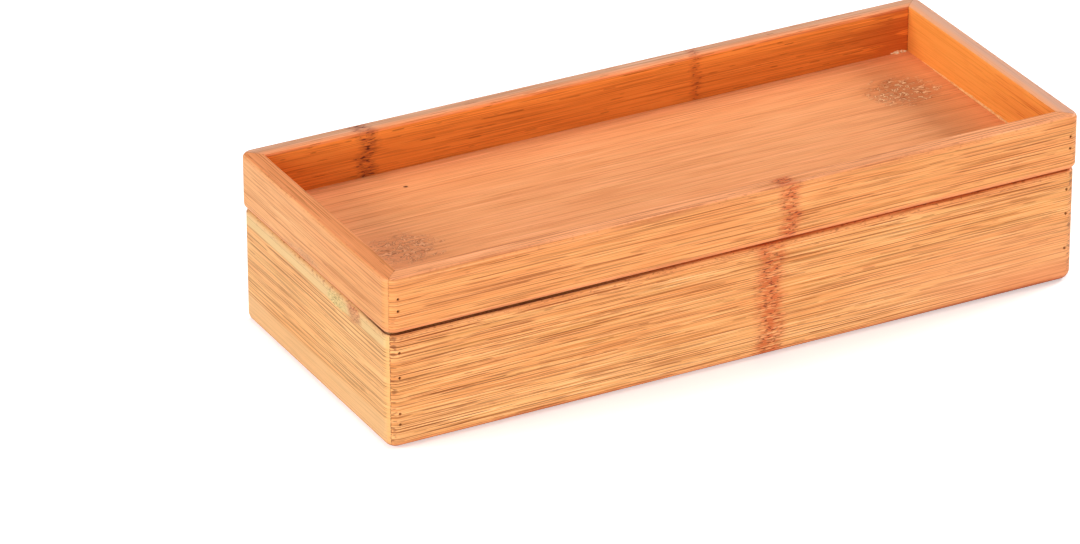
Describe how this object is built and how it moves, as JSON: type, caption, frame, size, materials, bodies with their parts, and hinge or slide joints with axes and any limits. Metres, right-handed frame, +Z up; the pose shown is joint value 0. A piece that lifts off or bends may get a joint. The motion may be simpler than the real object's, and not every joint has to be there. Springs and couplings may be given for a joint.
{
  "type": "bamboo tea bag box with lift-off tray lid",
  "caption": "Long low bamboo box with compartments for tea bags, closed by a shallow tray that lifts off as its lid.",
  "frame": {"origin": "centre of the underside, on the surface the box stands on", "axes": "+X along the long side to the right seen from the front, +Y from front to back, +Z up"},
  "size_m": [0.24, 0.1, 0.057],
  "materials": {
    "bamboo_board": "satin lacquer",
    "bamboo_panel": "satin lacquer",
    "brad_steel": "dull, darkened"
  },
  "bodies": {
    "base": {"base_front_board": "bamboo_board", "base_back_board": "bamboo_board", "base_left_board": "bamboo_board", "base_right_board": "bamboo_board", "base_bottom_panel": "bamboo_panel", "base_divider_1": "bamboo_board", "base_divider_2": "bamboo_board", "base_brads_front_left": "brad_steel", "base_brads_front_right": "brad_steel", "base_brads_back_left": "brad_steel", "base_brads_back_right": "brad_steel"},
    "tray_lid": {"tray_front_rail": "bamboo_board", "tray_back_rail": "bamboo_board", "tray_left_rail": "bamboo_board", "tray_right_rail": "bamboo_board", "tray_floor_panel": "bamboo_panel", "tray_brads_front_left": "brad_steel", "tray_brads_front_right": "brad_steel", "tray_brads_back_left": "brad_steel", "tray_brads_back_right": "brad_steel"}
  },
  "joints": [
    {"name": "lid_lift", "type": "slide", "parent": "base", "child": "tray_lid", "axis": [0, 0, 1], "range_m": [0, 0.1]}
  ]
}
